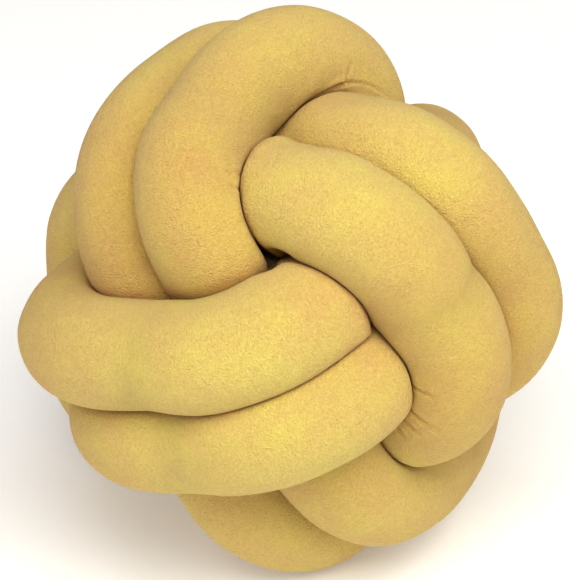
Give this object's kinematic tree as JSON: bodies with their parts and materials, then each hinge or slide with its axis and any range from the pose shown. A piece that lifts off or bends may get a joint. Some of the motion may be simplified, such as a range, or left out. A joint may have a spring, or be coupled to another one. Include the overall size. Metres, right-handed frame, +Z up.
{
  "type": "knot cushion",
  "caption": "Ball-shaped cushion tied from a long filled plush tube, its paired laps passing over and under each other, with the ends tucked in out of sight.",
  "frame": {"origin": "on the floor under the middle of the bounding box", "axes": "+Z up from the flat spot the ball rests on, -Y towards the side seen in the picture, +X to the right of that side"},
  "size_m": [0.2884, 0.3, 0.3025],
  "materials": {
    "plush": "short-pile plush, matt with a soft sheen"
  },
  "bodies": {
    "root": {"knotted_tube": "plush"}
  },
  "joints": []
}
